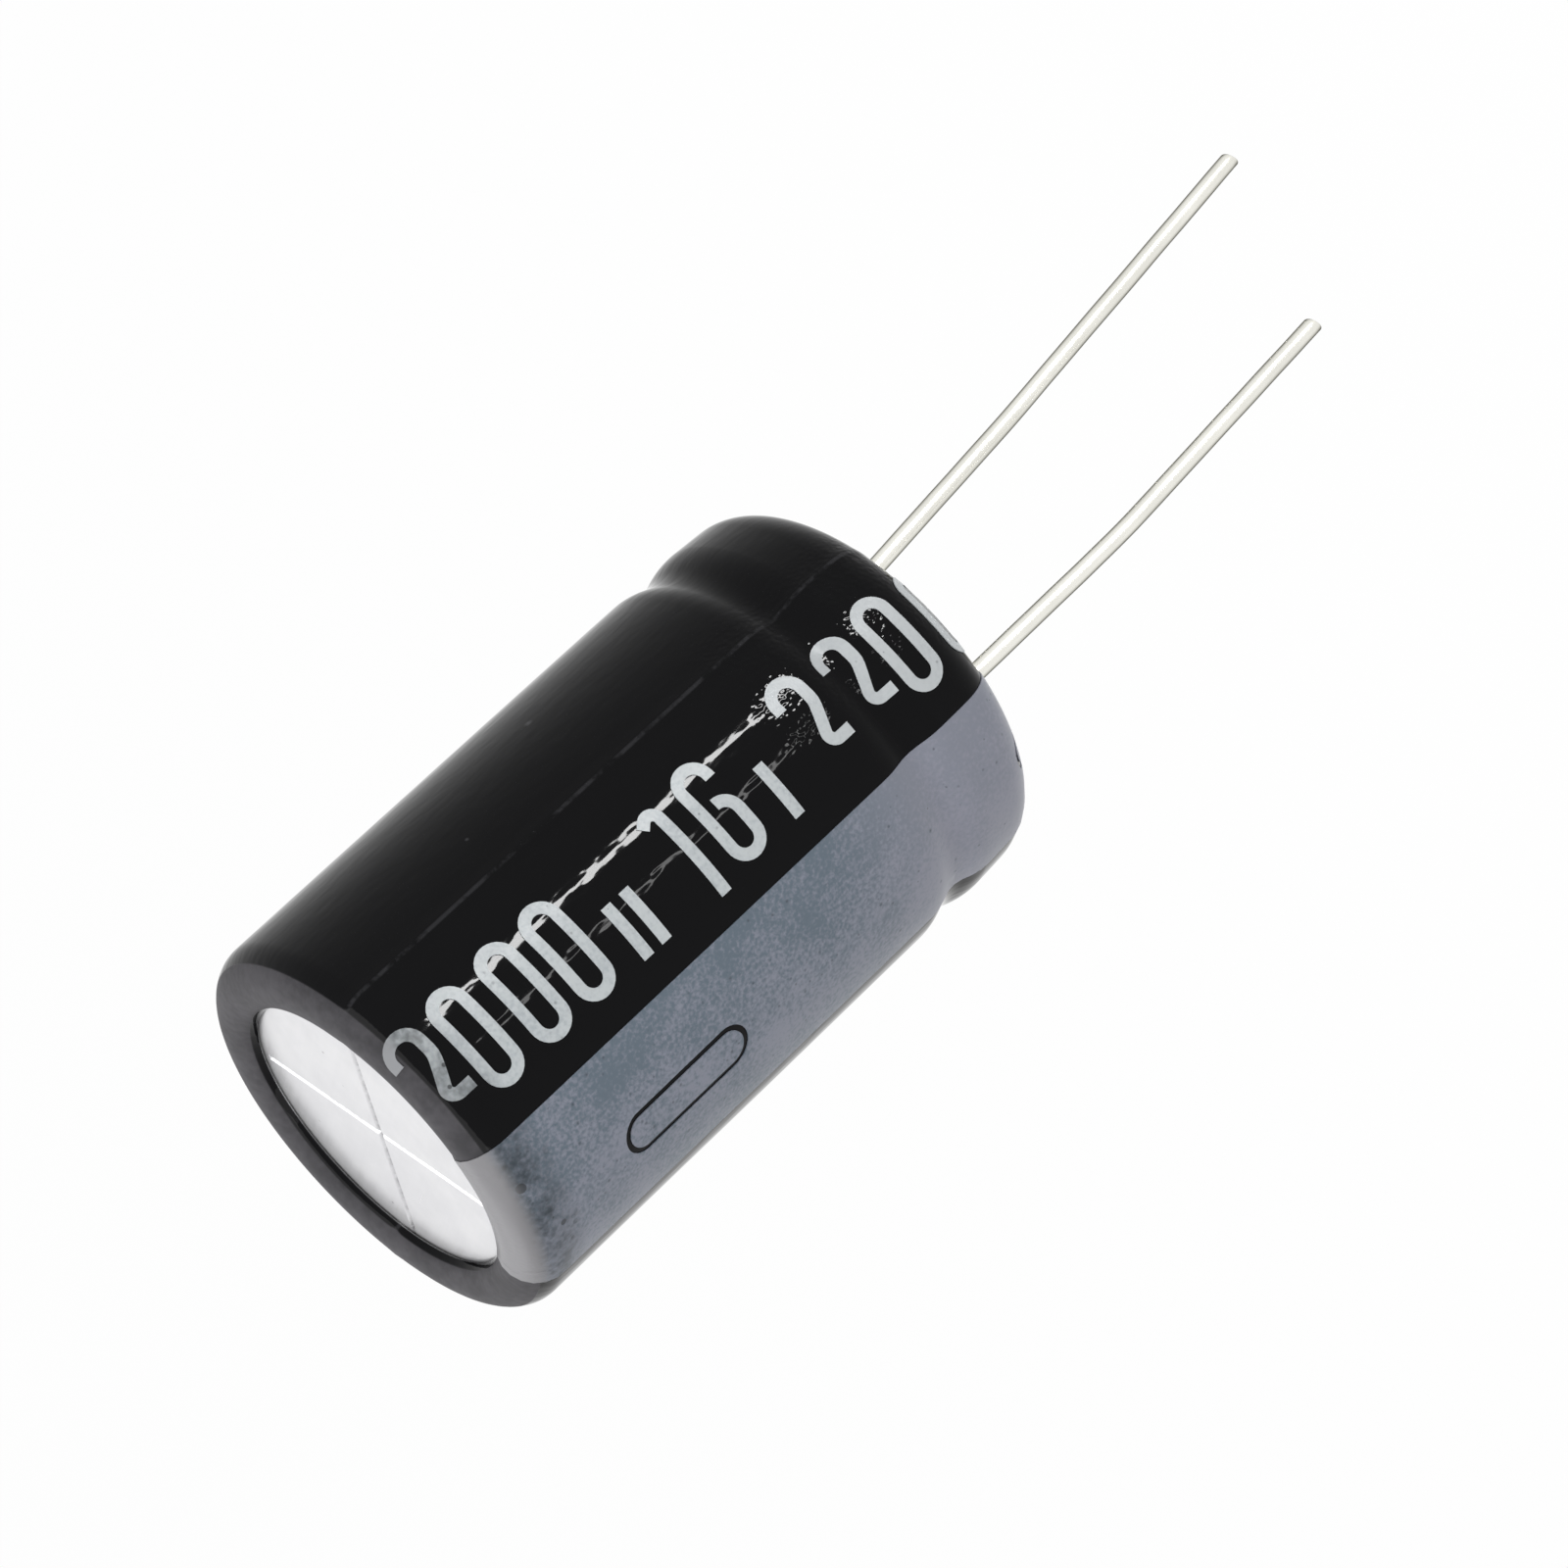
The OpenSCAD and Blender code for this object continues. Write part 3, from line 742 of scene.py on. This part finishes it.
def thicken(bm, thickness):
    """Gives flat faces a thickness, from a little above the film."""
    made = bmesh.ops.extrude_face_region(bm, geom=bm.faces[:], use_keep_orig=True)["geom"]
    top = [g for g in made if isinstance(g, bmesh.types.BMVert)]
    bmesh.ops.translate(bm, verts=top, vec=(0, 0, thickness))
    bmesh.ops.translate(bm, verts=bm.verts, vec=(0, 0, INK_FIT))


print("print helpers ready")

# %% Draw and wrap the stripe
bm = bmesh.new()
edge_points = [(-RISE_L, -STRIPE_W / 2, 0), (FALL_L, -STRIPE_W / 2, 0), *tip(next_tip, MARK_W),
               (FALL_L, STRIPE_W / 2, 0), (-RISE_L, STRIPE_W / 2, 0)]
INNER_L, INNER_W = MARK_L - 2 * MARK_LINE, MARK_W - 2 * MARK_LINE
mark_centre = (mark_at, MARK_SIDE, 0)
fill(bm, loop_of(bm, edge_points) + round_bar(bm, mark_centre, MARK_L, MARK_W))
fill(bm, round_bar(bm, mark_centre, INNER_L, INNER_W))
fill(bm, loop_of(bm, tip(next_tip + MARK_LINE, INNER_W)))
cut_grid(bm, GRID)
thicken(bm, INK_T)
wrap(bm, STRIPE_TURN)
piece("stripe_print", bm, stripe_mat, "ink", "stripe")

# %% [markdown]
# ## Plain figures
# The value on such a part is a row of tall narrow figures with one even stroke. Each figure here is
# a few strokes of the pen: runs and bends of one width. A font would need hinting at this size, and
# a dragged pen gives the same even line on every figure. A stroke is its start, its first heading
# in degrees and its steps, with the figure standing on y = 0.

# %% The figures' strokes, in millimetres
FIGURE_H, FIGURE_W, STROKE = 4.7, 1.9, 0.52
R = (FIGURE_W - STROKE) / 2
HALF = STROKE / 2
TURN = math.pi
UPRIGHT_RUN = FIGURE_H - 2 * R - STROKE
FIGURES = {
    "0": [((FIGURE_W - HALF, R + HALF), 90,
           [(UPRIGHT_RUN,), (R, TURN), (UPRIGHT_RUN,), (R, TURN)])],
    "1": [((0.15, FIGURE_H - 0.95), 40, [(0.35,), (0.36, -math.radians(130)), (FIGURE_H - 0.75,)])],
    "2": [((HALF, FIGURE_H - 1.3), 90, [(0.3,), (R, -TURN), (0.5,), (1.1, -math.radians(24)),
                                        (1.15,), (0.36, math.radians(114)), (0.64,)])],
    "6": [((FIGURE_W - HALF, FIGURE_H - 1.2), 90,
           [(0.2,), (R, TURN), (UPRIGHT_RUN,), (R, TURN), (1.0,), (R, TURN / 2), (0.02,)])],
    "|": [((0.3, 0), 90, [(2.6,)])],
}
print("figures drawn:", ", ".join(FIGURES))

# %% Draw and wrap the row
ROW_TURN = math.radians(231.3)
FIGURE_T = 0.04
FIGURE_BEND = math.radians(12)
ROW = [("2", -15.27), ("0", -12.85), ("0", -10.2), ("0", -7.75), ("|", -4.75), ("|", -3.75),
       ("1", -1.25), ("6", 0.85), ("|", 3.95), ("2", 6.3), ("2", 9.05), ("0", 11.5), ("0", 14.3)]
bm = bmesh.new()
for name, s in ROW:
    for start, heading, steps in FIGURES[name]:
        at = Vector((s + start[0], start[1] - FIGURE_H / 2, 0))
        heading = math.radians(heading)
        drag(bm, pen_edge(bm, at, heading, STROKE), at, heading, steps, bend_part=FIGURE_BEND)
bmesh.ops.remove_doubles(bm, verts=bm.verts, dist=MERGE)
bmesh.ops.recalc_face_normals(bm, faces=bm.faces)
thicken(bm, FIGURE_T)
wrap(bm, ROW_TURN)
piece("figure_print", bm, figure_mat, "ink")

# %% [markdown]
# ## The leads
# Each lead is a tinned wire that leaves the seal straight and was bent by hand. A ring is dragged
# along the same runs and bends as the solid's, and the end is nipped off at a slant. A faint waver
# keeps the wire from being ruler-straight. noise_vector draws its offsets at random, so its seed is
# set, and each run makes the same wire.

# %% Runs and bends of the leads, in millimetres
WIRE_D = 0.8
LEAD_X = 3.75
LEAN_TURN = math.radians(-40)
WELD_Z = 1.5
MID_BEND_R = 40


def lead_steps(length, exit_r, angle, bend_z, bend_angle):
    """Runs and bends of a lead that leans at its exit and leans further below bend_z."""
    first, lower = math.radians(angle), math.radians(angle + bend_angle)
    run = (bend_z - exit_r * math.sin(first)) / math.cos(first)
    rest = (length - bend_z - MID_BEND_R * (math.sin(lower) - math.sin(first))) / math.cos(lower)
    return [(WELD_Z,), (exit_r, first), (run,), (MID_BEND_R, lower - first), (rest,)]


LEADS = {"anode": (LEAD_X, lead_steps(30.3, 6, 5, 13.2, 1.2)),
         "cathode": (-LEAD_X, lead_steps(24.9, 30, 0.5, 10.3, 3.2))}
for name, (_, steps) in LEADS.items():
    print(f"{name} wire: {sum(step_length(step) for step in steps):.1f} mm")

# %% Drag the wires
WIRE_WAVER, WAVER_SCALE = 0.012, 0.45
noise.seed_set(1)
SLANT = math.radians(14)
NIP = 0.05


def lead(name, x, steps):
    """One wire from its weld in the seal to its cut end."""
    bm = bmesh.new()
    ring = bmesh.ops.create_circle(bm, segments=36, radius=WIRE_D / 2)["verts"]
    bmesh.ops.rotate(bm, verts=ring, cent=(0, 0, 0), matrix=UPRIGHT)
    start = list({e for v in ring for e in v.link_edges})
    end, at, heading = drag(bm, start, Vector((0, 0, 0)), -math.pi / 2, steps,
                            run_part=0.35, bend_part=math.radians(1))
    for v in {v for e in end for v in e.verts}:
        v.co -= along(heading) * (v.co - at).dot(across(heading)) * math.tan(SLANT)
    for rim in (start, end):
        cap = bmesh.ops.contextual_create(bm, geom=rim)["faces"]
        if rim is end:
            bmesh.ops.bevel(bm, geom=list(cap[0].edges), offset=NIP, offset_type="OFFSET",
                            segments=2, profile=0.5, affect="EDGES", material=-1)
    for v in bm.verts:
        v.co += WIRE_WAVER * noise.noise_vector(v.co * WAVER_SCALE + Vector((x, 0, 0)))
    stand_up(bm)
    bmesh.ops.rotate(bm, verts=bm.verts, cent=(0, 0, 0), matrix=Matrix.Rotation(LEAN_TURN, 3, "Z"))
    bmesh.ops.translate(bm, verts=bm.verts, vec=(x, 0, WELD_Z))
    piece(f"{name}_wire", bm, wire_mat, "wire", f"{name}_lead")


for name, (x, steps) in LEADS.items():
    lead(name, x, steps)

# %% [markdown]
# ## The solids that stay
# The can and everything inside it keep their solids and get their finish.

# %% Finish the solids
FINISHES = {"can": can_mat, "end_seal": seal_mat, "anode_tab": tab_mat, "cathode_tab": tab_mat,
            "winding": roll_mat, "winding_tape": tape_mat}
for name, material in FINISHES.items():
    nodes[name].data.materials.clear()
    nodes[name].data.materials.append(material)
    print(f"{name}: {material.name}")

# %% [markdown]
# ## Camera
# The photograph looks at the vent end from a little above, with the picture turned, so that the
# leads point to the upper right. The camera's own axes follow from the height that it looks down
# from and from the turn of the picture.

# %% The camera's axes
LOOK_DOWN = math.radians(23.207)
PICTURE_TURN = math.radians(43.082)
TOWARD_TURN = math.radians(230)
toward, aside, up = along(TOWARD_TURN), -across(TOWARD_TURN), Vector((0, 0, 1))
cam_back = math.cos(LOOK_DOWN) * toward + math.sin(LOOK_DOWN) * up
lean = math.sin(LOOK_DOWN) * toward - math.cos(LOOK_DOWN) * up
cam_right = math.sin(PICTURE_TURN) * aside + math.cos(PICTURE_TURN) * lean
cam_up = -math.cos(PICTURE_TURN) * aside + math.sin(PICTURE_TURN) * lean
print("camera looks from", tuple(round(c, 3) for c in cam_back))

# %% Place the camera
PICTURE, SENSOR = 1600, 36
FOCAL_PX = 5912.2
SHIFT_RIGHT, SHIFT_UP, DISTANCE = -3.912, -4.759, 240.0
camera = bpy.data.objects.new("camera", bpy.data.cameras.new("camera"))
camera.data.sensor_width = SENSOR
camera.data.lens = FOCAL_PX / PICTURE * SENSOR
camera.data.clip_start = 0.01
spot = (SHIFT_RIGHT * cam_right + SHIFT_UP * cam_up + DISTANCE * cam_back) * MM
camera.matrix_world = Matrix.Translation(spot) @ Matrix(
    (cam_right, cam_up, cam_back)).transposed().to_4x4()
bpy.context.scene.collection.objects.link(camera)
bpy.context.scene.camera = camera
bpy.context.scene.view_settings.view_transform = "Standard"
print("camera at", tuple(round(c, 4) for c in camera.matrix_world.translation))

# %% [markdown]
# ## Floor, world and lamps
# The part is held by its leads, so a plain pale floor lies well below it. The floor and the world
# show as white to the camera and in reflections, and the floor still takes a faint shadow. Three
# large soft panels light the part. Two narrow ones stand low in front: black gloss shows a lamp as
# a streak, which the film's ridges break up, and the second lamp draws the fainter one beside it.


# %% White world
def seen_directly(tree):
    """1 for camera, glossy and transmission rays."""
    rays = tree.nodes.new("ShaderNodeLightPath").outputs
    mirrored = calc(tree, "MAXIMUM", rays["Is Glossy Ray"], rays["Is Transmission Ray"])
    return calc(tree, "MAXIMUM", rays["Is Camera Ray"], mirrored)


WORLD_LIGHT = 0.34
world = bpy.data.worlds.new("studio")
bpy.context.scene.world = world
world.use_nodes = True
tree = world.node_tree
glow = add(tree, "ShaderNodeMapRange", {0: seen_directly(tree), 3: WORLD_LIGHT, 4: 1.0})
tree.links.new(glow.outputs[0], tree.nodes["Background"].inputs["Strength"])
tree.nodes["Background"].inputs["Color"].default_value = (1, 1, 1, 1)
print("world light:", WORLD_LIGHT)

# %% Pale floor
FLOOR_Z, FLOOR_HALF = -0.25, 4
FLOOR_GREY = 0.85
WHITE_SHARE = 0.98
bm = bmesh.new()
bmesh.ops.create_grid(bm, x_segments=4, y_segments=4, size=FLOOR_HALF)
bmesh.ops.translate(bm, verts=bm.verts, vec=(0, 0, FLOOR_Z))
mesh = bpy.data.meshes.new("floor")
bm.to_mesh(mesh)
bm.free()
floor = bpy.data.objects.new("floor", mesh)
bpy.context.scene.collection.objects.link(floor)
floor_mat = bpy.data.materials.new("pale_floor")
floor_mat.use_nodes = True
tree = floor_mat.node_tree
tree.nodes.remove(tree.nodes["Principled BSDF"])
matt = add(tree, "ShaderNodeBsdfDiffuse", {"Color": (FLOOR_GREY, FLOOR_GREY, FLOOR_GREY, 1)})
white = add(tree, "ShaderNodeEmission", {"Strength": 1.0})
share = calc(tree, "MULTIPLY", seen_directly(tree), WHITE_SHARE)
surface = add(tree, "ShaderNodeMixShader", {0: share, 1: matt.outputs[0], 2: white.outputs[0]})
tree.links.new(surface.outputs[0], tree.nodes["Material Output"].inputs["Surface"])
mesh.materials.append(floor_mat)
print("floor at", FLOOR_Z)


# %% Lamps
def panel(name, direction, distance, width, length, radiance, upright=up):
    """A soft panel of one radiance that faces the part. direction is (toward, aside, up)."""
    way = (direction[0] * toward + direction[1] * aside + direction[2] * up).normalized()
    side = upright.cross(way).normalized()
    lamp = bpy.data.lights.new(name, "AREA")
    lamp.shape = "RECTANGLE"
    lamp.size = width
    lamp.size_y = length
    lamp.energy = radiance * math.pi * width * length
    obj = bpy.data.objects.new(name, lamp)
    centre = Vector((0, 0, BODY_H / 2 * MM))
    obj.matrix_world = Matrix.Translation(centre + way * distance) @ Matrix(
        (side, way.cross(side), way)).transposed().to_4x4()
    bpy.context.scene.collection.objects.link(obj)
    print(f"{name}: {lamp.energy:.2f} W")


panel("front_top_panel", (0.26, 0.0, 1.0), 0.42, 0.80, 0.44, 2.5, upright=toward)
panel("back_top_panel", (-0.78, 0.0, 1.0), 0.5, 0.80, 0.34, 1.4, upright=toward)
panel("side_panel", (0.5, 1.0, 0.6), 0.6, 0.3, 0.3, 1.4)
panel("streak_panel", (0.842, -0.368, -0.394), 0.5, 0.026, 0.12, 90.0)
panel("ghost_panel", (0.919, -0.01, -0.394), 0.5, 0.01, 0.1, 20.0)
